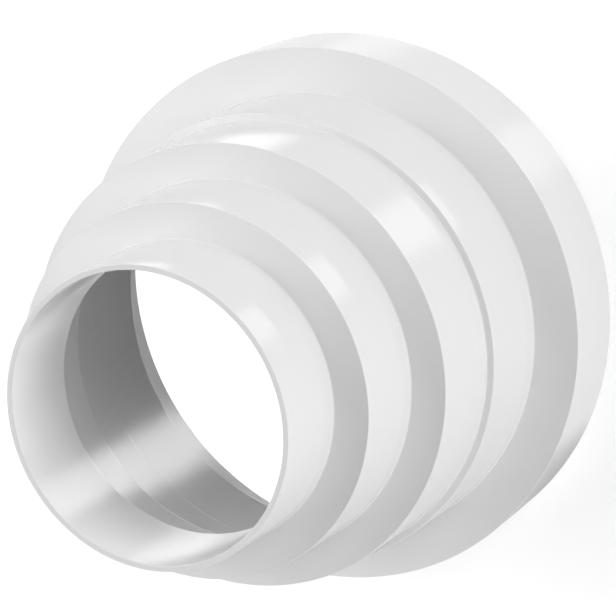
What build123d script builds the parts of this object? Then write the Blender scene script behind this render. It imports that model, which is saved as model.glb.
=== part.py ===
from build123d import *
from math import copysign
import os

# A stepped duct reducer: one injection moulding in white plastic. Five coaxial spigots step down from
# a 150 mm duct to an 80 mm one, joined by flat shoulders and open at both ends. The origin is the centre
# of the large rim, which the reducer stands on, and +Z runs up the axis to the small mouth.
# All sizes are in millimetres.

# Outside diameter of each spigot at its root, just under the bore of the duct that slides over it
spigot_150_diameter = 149.5
spigot_125_diameter = 124.8
spigot_120_diameter = 119.4
spigot_100_diameter = 99.2
spigot_80_diameter = 79.0

# Length of each spigot along the axis, outside
spigot_150_length = 25.2
spigot_125_length = 26.6
spigot_120_length = 25.4
spigot_100_length = 24.0
spigot_80_length = 23.8

# Wall of each spigot at its root; the bores are straight, so a spigot that tapers is thinner at its mouth
spigot_150_wall = 3.25
spigot_125_wall = 2.4
spigot_120_wall = 2.7
spigot_100_wall = 2.4
spigot_80_wall = 2.2

# Thickness of the flat shoulders between the spigots
shoulder_thickness = 2.3

# The four smaller spigots have a straight seat at the root, then narrow evenly to the mouth
seat_length = 5.0
mouth_taper = 0.7
seat_blend_radius = 20.0

# Rounded edges: the two rims, the outer edge of a shoulder and the corner at a spigot's root,
# then the lip where a bore opens out inside and the corner behind the shoulder
rim_rounding = 0.3
shoulder_edge_rounding = 0.2
root_rounding = 0.4
lip_rounding = 0.8
inner_corner_rounding = 1.0

# The spigots from the large end to the small one: outside radius at the root, length and bore radius
spigots = [
    (spigot_150_diameter / 2, spigot_150_length, spigot_150_diameter / 2 - spigot_150_wall),
    (spigot_125_diameter / 2, spigot_125_length, spigot_125_diameter / 2 - spigot_125_wall),
    (spigot_120_diameter / 2, spigot_120_length, spigot_120_diameter / 2 - spigot_120_wall),
    (spigot_100_diameter / 2, spigot_100_length, spigot_100_diameter / 2 - spigot_100_wall),
    (spigot_80_diameter / 2, spigot_80_length, spigot_80_diameter / 2 - spigot_80_wall),
]


def section_corners():
    """Corners of the wall's section as (radius, height, rounding), up the outside and down the inside."""
    radius, height, bore = spigots[0]
    outside = [(radius, 0, rim_rounding), (radius, height, shoulder_edge_rounding)]
    inside = [(bore, 0, rim_rounding)]
    for radius, length, next_bore in spigots[1:]:
        # the shoulder's wall lies on the side of the wider spigot
        inner_height = height - copysign(shoulder_thickness, bore - next_bore)
        inside.append((bore, inner_height, inner_corner_rounding))
        inside.append((next_bore, inner_height, lip_rounding))
        outside.append((radius, height, root_rounding))
        outside.append((radius, height + seat_length, seat_blend_radius))
        outside.append((radius - mouth_taper, height + length, shoulder_edge_rounding))
        bore = next_bore
        height += length
    outside[-1] = (radius - mouth_taper, height, rim_rounding)
    inside.append((bore, height, rim_rounding))
    return outside + inside[::-1]


def reducer():
    """The moulding: the wall's section, one closed outline, turned once round the axis."""
    corners = section_corners()
    points = [(radius, height) for radius, height, rounding in corners]
    roundings = [rounding for radius, height, rounding in corners]
    with BuildPart() as moulding:
        with BuildSketch(Plane.XZ):
            with BuildLine():
                FilletPolyline(*points, radius=roundings, close=True)
            make_face()
        revolve(axis=Axis.Z)
    return moulding.part


os.makedirs("parts", exist_ok=True)
export_step(reducer(), "parts/reducer.step")
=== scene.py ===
import bpy
import math
import numpy as np
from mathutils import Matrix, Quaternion, Vector


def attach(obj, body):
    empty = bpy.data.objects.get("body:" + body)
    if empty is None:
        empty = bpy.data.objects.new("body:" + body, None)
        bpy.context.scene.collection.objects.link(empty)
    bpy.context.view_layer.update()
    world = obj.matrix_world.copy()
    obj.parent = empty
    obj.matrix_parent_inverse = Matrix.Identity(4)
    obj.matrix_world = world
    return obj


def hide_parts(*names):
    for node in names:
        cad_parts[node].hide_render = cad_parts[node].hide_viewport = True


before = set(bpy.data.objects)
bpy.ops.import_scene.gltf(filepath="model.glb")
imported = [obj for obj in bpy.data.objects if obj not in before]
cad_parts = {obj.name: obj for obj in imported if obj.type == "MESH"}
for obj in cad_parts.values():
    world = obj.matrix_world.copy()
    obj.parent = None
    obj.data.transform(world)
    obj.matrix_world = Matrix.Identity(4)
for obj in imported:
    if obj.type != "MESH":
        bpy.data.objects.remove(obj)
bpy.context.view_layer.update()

# The reducer: one injection moulding in satin white plastic. Five coaxial spigots step down from a
# 150 mm duct to an 80 mm one, flat shoulders join them, and both ends are open. It stands on its
# large rim, with the axis upright.
#
# Each spigot from the large end to the small one: outside radius at its root, length and bore radius.
spigots = np.array([
    (0.07475, 0.0252, 0.0715),
    (0.0624, 0.0266, 0.0600),
    (0.0597, 0.0254, 0.0570),
    (0.0496, 0.0240, 0.0472),
    (0.0395, 0.0238, 0.0373),
])
seat_length = 0.005
mouth_taper = 0.0007
shoulder_thickness = 0.0023
rim_rounding, edge_rounding, root_rounding = 0.0003, 0.0002, 0.0004
lip_rounding, inner_rounding, seat_blend = 0.0008, 0.001, 0.02


def rounded_corners(radii, heights, rounding):
    """One row (radius, height, rounding) for each radius, all with the same rounding."""
    return np.stack([radii, heights, np.full(len(radii), rounding)], 1)


def section_corners():
    """Corners (radius, height, rounding) of the wall's section, up the outside and down the inside.
    A spigot outside is root, end of the straight seat and narrowed mouth; inside it is one straight
    bore that ends a shoulder's thickness below the shoulder's top."""
    radius, length, bore = spigots.T
    top = np.cumsum(length)
    root = rounded_corners(radius[1:], top[:-1], root_rounding)
    seat = rounded_corners(radius[1:], top[:-1] + seat_length, seat_blend)
    mouth = rounded_corners(radius[1:] - mouth_taper, top[1:], edge_rounding)
    outside = np.stack([root, seat, mouth], 1).reshape(-1, 3)
    outside[-1, 2] = rim_rounding
    lip = rounded_corners(bore[1:], top[:-1] - shoulder_thickness, lip_rounding)
    corner = rounded_corners(bore[:-1], top[:-1] - shoulder_thickness, inner_rounding)
    inside = np.stack([lip, corner], 1)[::-1].reshape(-1, 3)
    return np.concatenate([
        [(radius[0], 0, rim_rounding), (radius[0], top[0], edge_rounding)],
        outside,
        [(bore[-1], top[-1], rim_rounding)],
        inside,
        [(bore[0], 0, rim_rounding)],
    ])


def rounded_outline(corners, steps):
    """Points and outward normals of a closed outline of straight runs with an arc at every corner.
    The arc's centre lies rounding / sin(half the corner's angle) along the bisector. Its points are
    the centre plus the rounding times a unit vector that turns evenly from one run's side to the
    other's."""
    place, rounding = corners[:, :2], corners[:, 2:]
    back = np.roll(place, 1, axis=0) - place
    ahead = np.roll(place, -1, axis=0) - place
    back /= np.linalg.norm(back, axis=1, keepdims=True)
    ahead /= np.linalg.norm(ahead, axis=1, keepdims=True)
    half = np.arccos(np.clip((back * ahead).sum(1, keepdims=True), -1, 1)) / 2
    bisector = (back + ahead) / np.linalg.norm(back + ahead, axis=1, keepdims=True)
    centre = place + bisector * rounding / np.sin(half)
    first = (back * (rounding / np.tan(half)) + place - centre) / rounding
    last = (ahead * (rounding / np.tan(half)) + place - centre) / rounding
    sweep = (math.pi - 2 * half)[:, :, None]
    share = np.linspace(0, 1, steps)[None, :, None]
    spoke = np.sin((1 - share) * sweep) * first[:, None] + np.sin(share * sweep) * last[:, None]
    spoke /= np.sin(sweep)
    turn = np.sign(ahead[:, 1] * back[:, 0] - ahead[:, 0] * back[:, 1])[:, None, None]
    points = centre[:, None] + rounding[:, None] * spoke
    return points.reshape(-1, 2), (-turn * spoke).reshape(-1, 2)


def turned(name, outline, normals, segments):
    """A closed outline of (radius, height) turned round the Z axis: at angle a, a point is
    (radius cos a, radius sin a, height) and its normal turns with it. The attribute "bore" is 1
    where the surface looks within 60 degrees of straight at the axis, and 0 elsewhere."""
    angle = np.linspace(0, 2 * math.pi, segments, endpoint=False)
    spin = np.stack([np.cos(angle), np.sin(angle)], 1)

    def around(pairs):
        level = pairs[:, None, :1] * spin[None]
        upright = np.broadcast_to(pairs[:, None, 1:], (len(pairs), segments, 1))
        return np.concatenate([level, upright], 2).reshape(-1, 3).tolist()

    row = np.arange(len(outline))[:, None] * segments
    column = np.arange(segments)[None]
    next_row, next_column = np.roll(row, -1, axis=0), np.roll(column, -1, axis=1)
    quads = np.stack([
        row + column,
        row + next_column,
        next_row + next_column,
        next_row + column,
    ], 2)
    mesh = bpy.data.meshes.new(name)
    mesh.from_pydata(around(outline), [], quads.reshape(-1, 4).tolist())
    mesh.polygons.foreach_set("use_smooth", np.ones(len(mesh.polygons), bool))
    mesh.normals_split_custom_set_from_vertices(around(normals))
    looks_inwards = np.repeat(normals[:, 0] < -0.5, segments)
    mesh.attributes.new("bore", "FLOAT", "POINT").data.foreach_set("value", looks_inwards.astype(float))
    piece = bpy.data.objects.new(name, mesh)
    bpy.context.scene.collection.objects.link(piece)
    return piece


moulding = turned("reducer_moulding", *rounded_outline(section_corners(), steps=6), segments=384)
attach(moulding, "root")
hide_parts("reducer")


class Wire:
    """An output socket of a finish. Sums, differences and products of wires add their Math nodes."""

    def __init__(self, finish, socket):
        self.finish, self.socket = finish, socket

    def joined(self, operation, first, second):
        return self.finish.node("ShaderNodeMath", {"operation": operation}, {0: first, 1: second})

    def __add__(self, other):
        return self.joined("ADD", self, other)

    def __radd__(self, other):
        return self.joined("ADD", other, self)

    def __sub__(self, other):
        return self.joined("SUBTRACT", self, other)

    def __rsub__(self, other):
        return self.joined("SUBTRACT", other, self)

    def __mul__(self, other):
        return self.joined("MULTIPLY", self, other)

    def __rmul__(self, other):
        return self.joined("MULTIPLY", other, self)

    def __gt__(self, other):
        return self.joined("GREATER_THAN", self, other)

    def eased(self, start, end):
        """0 up to the start and 1 from the end on, with a smooth step between them."""
        return self.finish.node("ShaderNodeMapRange", {"interpolation_type": "SMOOTHSTEP"}, {
            "Value": self,
            "From Min": start,
            "From Max": end,
        })


class Finish:
    """A material or world whose nodes are all made by node()."""

    def __init__(self, owner):
        self.owner = owner
        owner.use_nodes = True
        owner.node_tree.nodes.clear()

    def node(self, kind, settings=None, sockets=None, output=0):
        """Adds a node, sets its settings and then its sockets, and returns one of its outputs."""
        made = self.owner.node_tree.nodes.new(kind)
        for name, value in (settings or {}).items():
            setattr(made, name, value)
        for name, value in (sockets or {}).items():
            if isinstance(value, Wire):
                self.owner.node_tree.links.new(value.socket, made.inputs[name])
            else:
                made.inputs[name].default_value = value
        return Wire(self, made.outputs[output]) if made.outputs else None

    def vector(self, operation, first, second=(0, 0, 0), output="Vector"):
        """One step of vector maths."""
        return self.node("ShaderNodeVectorMath", {"operation": operation}, {0: first, 1: second}, output)

    def part_of(self, vector, axis):
        """A vector's X, Y or Z."""
        return self.node("ShaderNodeSeparateXYZ", None, {0: vector}, axis)

    def level(self, vector):
        """The level part of a vector, of length 1."""
        return self.vector("NORMALIZE", self.vector("MULTIPLY", vector, (1, 1, 0)))

    def facing(self, level, azimuth):
        """The cosine of the angle between a level vector and this azimuth: 1 straight at it."""
        ahead = (math.cos(math.radians(azimuth)), math.sin(math.radians(azimuth)), 0)
        return self.vector("DOT_PRODUCT", level, ahead, "Value")

    def sector(self, level, azimuth, half_width, edge):
        """1 within the half width of this azimuth, eased to 0 over the edge, all in degrees."""
        outer, inner = math.radians(half_width + edge), math.radians(half_width)
        return self.facing(level, azimuth).eased(math.cos(outer), math.cos(inner))

    def glow(self, strength):
        """An emission of grey light, which may vary from place to place."""
        grey = self.node("ShaderNodeCombineColor", None, {0: strength, 1: strength, 2: strength})
        return self.node("ShaderNodeEmission", None, {"Color": grey})


# The moulded surface is smooth and glossy outside and a little duller in the bore: an even white with
# faint clouds where the melt flowed, a fine grain from the mould's steel, and a gloss that varies.
pale_white, palest_white = (0.89, 0.89, 0.89, 1), (0.91, 0.91, 0.91, 1)
clouds_per_metre, grains_per_metre = 22, 2600
grain_depth, grain_strength = 0.00004, 0.12
outside_roughness, cloud_roughness, bore_roughness = 0.08, 0.04, 0.1

plastic = Finish(bpy.data.materials.new("satin_white_plastic"))
place = plastic.node("ShaderNodeTexCoord", output="Object")
clouds = plastic.node("ShaderNodeTexNoise", None, {
    "Vector": place,
    "Scale": clouds_per_metre,
    "Detail": 3,
})
grain = plastic.node("ShaderNodeTexNoise", None, {
    "Vector": place,
    "Scale": grains_per_metre,
    "Detail": 2,
})
# sockets 6 and 7 and output 2 of the Mix node are its colours
tone = plastic.node("ShaderNodeMix", {"data_type": "RGBA"}, {
    "Factor": clouds,
    6: pale_white,
    7: palest_white,
}, output=2)
bore = plastic.node("ShaderNodeAttribute", {"attribute_name": "bore"}, output="Fac")
relief = plastic.node("ShaderNodeBump", None, {
    "Strength": grain_strength,
    "Distance": grain_depth,
    "Height": grain,
})
surface = plastic.node("ShaderNodeBsdfPrincipled", None, {
    "Base Color": tone,
    "Roughness": outside_roughness + clouds * cloud_roughness + bore * bore_roughness,
    "IOR": 1.49,
    "Normal": relief,
})
plastic.node("ShaderNodeOutputMaterial", None, {"Surface": surface})
moulding.data.materials.append(plastic.owner)

# The floor is plain and white. The camera sees it near white, with a soft shadow of the reducer on it.
# Its glow to the camera is weaker near the reducer, so that the shadow shows there. Within the rim,
# where the reducer shades the floor, a painted light brings it up to white.
# What the plastic mirrors is the studio beyond it, so the floor itself is in no reflection.
floor_reach = 4
floor_colour = (0.85, 0.85, 0.85, 1)
paleness_all_over, painted_light_in_the_rim, paleness_far_off = 0.4, 0.68, 0.6

floor_mesh = bpy.data.meshes.new("floor")
floor_corners = np.array([(-1, -1, 0), (1, -1, 0), (1, 1, 0), (-1, 1, 0)]) * floor_reach
floor_mesh.from_pydata(floor_corners.tolist(), [], [(0, 1, 2, 3)])
floor = bpy.data.objects.new("floor", floor_mesh)
floor.visible_glossy = False
bpy.context.scene.collection.objects.link(floor)
white_floor = Finish(bpy.data.materials.new("white_floor"))
white_floor.owner.cycles.emission_sampling = "NONE"
spot = white_floor.node("ShaderNodeTexCoord", output="Object")
distance = white_floor.vector("LENGTH", spot, output="Value")
in_the_rim = distance.eased(0.0735, 0.0725)
far_off = distance.eased(0.08, 0.3)
# painted light: within the rim, where the reducer shades the floor, the camera sees a stronger glow
camera_glow_with_painted_light = paleness_all_over + painted_light_in_the_rim * in_the_rim + paleness_far_off * far_off
seen = white_floor.node("ShaderNodeLightPath", output="Is Camera Ray")
white_floor.node("ShaderNodeOutputMaterial", None, {
    "Surface": white_floor.node("ShaderNodeAddShader", None, {
        0: white_floor.node("ShaderNodeBsdfDiffuse", None, {"Color": floor_colour}),
        1: white_floor.glow(seen * camera_glow_with_painted_light),
    }),
})
floor_mesh.materials.append(white_floor.owner)

# Sheets lie on the floor and are met by mirrored rays alone, so they show only in the plastic's
# reflections. The reflection sheets let a share of the studio's light through and add some of their own:
# a painted reflection, darker and brighter, in the bore and on the sides by the rim. The clear films
# change nothing: the studio counts the sheets that a ray has passed, and so tells the rays that come
# down the bore from the rest.
pinhole, far_edge, large_bore = 0.0001, 0.061, 0.0714
beside_the_rim, rim_sheet_end = 0.0749, 0.0888


def sheet(name, inner, outer, height, segments=128):
    """A flat ring: a point of it is (radius cos a, radius sin a, height), at the inner and the outer
    radius and at evenly spaced angles a. Returns the sheet's finish, which is still empty."""
    angle = np.linspace(0, 2 * math.pi, segments, endpoint=False)
    ring = np.stack([np.cos(angle), np.sin(angle), np.zeros(segments)], 1)
    points = np.concatenate([ring * inner, ring * outer]) + (0, 0, height)
    here = np.arange(segments)
    after = np.roll(here, -1)
    quads = np.stack([here, here + segments, after + segments, after], 1)
    mesh = bpy.data.meshes.new(name)
    mesh.from_pydata(points.tolist(), [], quads.tolist())
    flat = bpy.data.objects.new(name, mesh)
    bpy.context.scene.collection.objects.link(flat)
    flat.visible_camera = False
    flat.visible_diffuse = False
    flat.visible_shadow = False
    finish = Finish(bpy.data.materials.new(name))
    finish.owner.cycles.emission_sampling = "NONE"
    mesh.materials.append(finish.owner)
    return finish


def paint_reflection(finish, let_through, own_glow):
    """Lets a share of the light through the sheet and adds the sheet's own: a painted reflection, since
    only mirrored rays meet the sheets.
    """
    clear = finish.node("ShaderNodeBsdfTransparent", None, {"Color": (1, 1, 1, 1)})
    veiled = finish.node("ShaderNodeMixShader", None, {0: let_through, 2: clear})
    both = finish.node("ShaderNodeAddShader", None, {0: veiled, 1: finish.glow(own_glow)})
    finish.node("ShaderNodeOutputMaterial", None, {"Surface": both})


# Under the open end the sheet holds back much of the studio's light towards the front and glows brightly
# there. It holds back less at the back left, and along the left it only adds light. Mirrored in the
# bore's walls, this is painted reflected light and shade.
bore_reflection_sheet = sheet("bore_reflection_sheet", inner=pinhole, outer=large_bore, height=0.0002)
front_held_back, back_left_held_back = 0.78, 0.43
front_glow, front_edge_glow, left_glow, back_left_glow = 1.6, 1.25, 0.8, 0.42
spot = bore_reflection_sheet.node("ShaderNodeTexCoord", output="Object")
spot_x, spot_y = bore_reflection_sheet.part_of(spot, "X"), bore_reflection_sheet.part_of(spot, "Y")
edge = bore_reflection_sheet.vector("LENGTH", spot, output="Value").eased(0.060, 0.062)
front = spot_y.eased(-0.012, -0.056)
left = spot_x.eased(-0.022, -0.034)
back_left = spot_x.eased(-0.012, -0.02) * spot_y.eased(0.034, 0.046)
let_through = 1 - front_held_back * front - back_left_held_back * back_left
own_glow = front * (front_glow + front_edge_glow * edge) + left_glow * left + back_left_glow * back_left
paint_reflection(bore_reflection_sheet, let_through, own_glow)

# To the right of the rim the sheet holds most of the studio's light back and glows in its place, and it
# fades out at its end: a painted reflection on the reducer's sides.
rim_reflection_sheet = sheet("rim_reflection_sheet", inner=beside_the_rim, outer=rim_sheet_end, height=0.0002)
let_through_by_the_rim, rim_glow = 0.3, 0.98
spot = rim_reflection_sheet.node("ShaderNodeTexCoord", output="Object")
distance = rim_reflection_sheet.vector("LENGTH", spot, output="Value")
by_the_rim, near_the_end = distance.eased(0.0845, 0.083), distance.eased(0.0868, rim_sheet_end)
at_right = rim_reflection_sheet.sector(rim_reflection_sheet.level(spot), azimuth=-14, half_width=36, edge=8)
held_back = at_right * (1 - let_through_by_the_rim * by_the_rim - near_the_end)
paint_reflection(rim_reflection_sheet, 1 - held_back, rim_glow * held_back)

# One film lies under the whole open end, and one more along its edge.
bore_film = sheet("bore_film", inner=pinhole, outer=large_bore, height=0.0001)
edge_film = sheet("edge_film", inner=far_edge, outer=large_bore, height=0.00015)
for film in bore_film, edge_film:
    film.node("ShaderNodeOutputMaterial", None, {
        "Surface": film.node("ShaderNodeBsdfTransparent", None, {"Color": (1, 1, 1, 1)}),
    })

# The studio is white to the camera and nearly dark as a light. The plastic mirrors it: pale, paler to
# the back right, dark in a patch at the back left, with a tall strip of light at the front and one at
# the side. The strips lie on the sides and along the bore as bands, and are brighter down the bore.
light_of_the_room, overhead_glow = 0.02, 0.6
pale_side_azimuth, dark_back_azimuth = 40, 124
outside_glow, outside_pale_side, slanting_loss, dark_back_loss = 0.76, 0.32, 0.24, 0.85
front_strip_glow, slanting_strip_glow = 0.6, 0.69
inside_glow, inside_pale_side, inside_front_strip, inside_side_strip = 0.3, 0.9, 6.9, 1.7
far_edge_glow, far_edge_loss, side_window_glow = 1.6, 1.5, 0.75

world = bpy.data.worlds.new("studio")
world.cycles.sampling_method = "NONE"
bpy.context.scene.world = world
air = Finish(world)
heading = air.node("ShaderNodeTexCoord", output="Generated")
level = air.level(heading)
rise = air.part_of(heading, "Z")
pale_side = air.facing(level, pale_side_azimuth) * 0.5 + 0.5

slanting = rise.eased(-0.92, -0.84)
dark_back = air.sector(level, dark_back_azimuth, half_width=5, edge=27)
front_strip = air.sector(level, azimuth=-72, half_width=6, edge=13)
side_strip = air.sector(level, azimuth=18, half_width=5, edge=14)
outside = (
    outside_glow
    + outside_pale_side * pale_side
    - slanting_loss * slanting
    - dark_back_loss * dark_back * (1 - slanting)
    + front_strip * (front_strip_glow + slanting_strip_glow * slanting)
    + side_strip
)

# a ray that comes down the bore passes the film and the reflection sheet, and a second film at the far
# rim's edge
sheets_passed = air.node("ShaderNodeLightPath", output="Transparent Depth")
down_the_bore = sheets_passed > 1.5
at_the_far_edge = (sheets_passed > 2.5) * air.facing(level, -90).eased(0, 0.4)
inner_front_strip = air.sector(level, azimuth=-71, half_width=8, edge=12)
inner_side_strip = air.sector(level, azimuth=23, half_width=6, edge=22)
side_window = air.sector(level, azimuth=-20, half_width=10, edge=40)
inside = (
    inside_glow
    + inside_pale_side * pale_side
    + far_edge_glow * at_the_far_edge
    + inner_front_strip * (inside_front_strip - far_edge_loss * at_the_far_edge)
    + side_window_glow * side_window
    + inside_side_strip * inner_side_strip
)

below = rise.eased(0.01, -0.01)
beneath = inside * down_the_bore + outside * (1 - down_the_bore)
mirrored_glow = overhead_glow * (1 - below) + beneath * below
grey = air.node("ShaderNodeCombineColor", None, {0: mirrored_glow, 1: mirrored_glow, 2: mirrored_glow})
seen = air.node("ShaderNodeLightPath", output="Is Camera Ray")
mirrored = air.node("ShaderNodeLightPath", output="Is Glossy Ray")
dim = air.node("ShaderNodeBackground", None, {"Color": (1, 1, 1, 1), "Strength": light_of_the_room})
studio = air.node("ShaderNodeBackground", None, {"Color": grey, "Strength": 1})
white = air.node("ShaderNodeBackground", None, {"Color": (1, 1, 1, 1), "Strength": 1})
unseen = air.node("ShaderNodeMixShader", None, {0: mirrored, 1: dim, 2: studio})
air.node("ShaderNodeOutputWorld", None, {
    "Surface": air.node("ShaderNodeMixShader", None, {0: seen, 1: unseen, 2: white}),
})

# The light is soft and comes from all round: six softboxes, half of them just above the floor, so that
# the flat shoulders stay a shade darker than the sides.
middle = Vector((0, 0, 0.06))
stand_off = 1.4
softbox_width = 1


def softbox(name, azimuth, elevation, height, watts):
    """A lamp that stands off from the reducer's middle and faces it."""
    side, up = math.radians(azimuth), math.radians(elevation)
    away = Vector((math.cos(side) * math.cos(up), math.sin(side) * math.cos(up), math.sin(up)))
    lamp = bpy.data.objects.new(name, bpy.data.lights.new(name, "AREA"))
    lamp.data.shape = "RECTANGLE"
    lamp.data.size = softbox_width
    lamp.data.size_y = height
    lamp.data.energy = watts
    lamp.location = middle + away * stand_off
    lamp.rotation_euler = away.to_track_quat("Z", "Y").to_euler()
    lamp.visible_camera = False
    lamp.visible_glossy = False
    bpy.context.scene.collection.objects.link(lamp)


softbox("low_front_softbox", azimuth=-90, elevation=12, height=0.5, watts=7.2)
softbox("high_front_softbox", azimuth=-90, elevation=35, height=1, watts=5.7)
softbox("right_softbox", azimuth=22, elevation=35, height=1, watts=9.2)
softbox("back_right_softbox", azimuth=60, elevation=35, height=1, watts=7.2)
softbox("back_left_softbox", azimuth=120, elevation=12, height=0.5, watts=6.8)
softbox("left_softbox", azimuth=180, elevation=12, height=0.5, watts=7.1)

# The camera looks down past the small mouth, rolled so that the axis leans to the lower left.
aimed_at = Vector((0.00385, -0.01811, 0.06))
roll = math.radians(-119.536)
camera = bpy.data.objects.new("camera", bpy.data.cameras.new("camera"))
camera.data.sensor_width = 36
camera.data.lens = 160.957
camera.data.clip_start = 0.05
camera.location = (0, -0.37154, 0.6801)
sight = aimed_at - camera.location
camera.rotation_euler = (sight.to_track_quat("-Z", "Y") @ Quaternion((0, 0, 1), roll)).to_euler()
bpy.context.scene.collection.objects.link(camera)
bpy.context.scene.camera = camera
bpy.context.scene.view_settings.view_transform = "Standard"
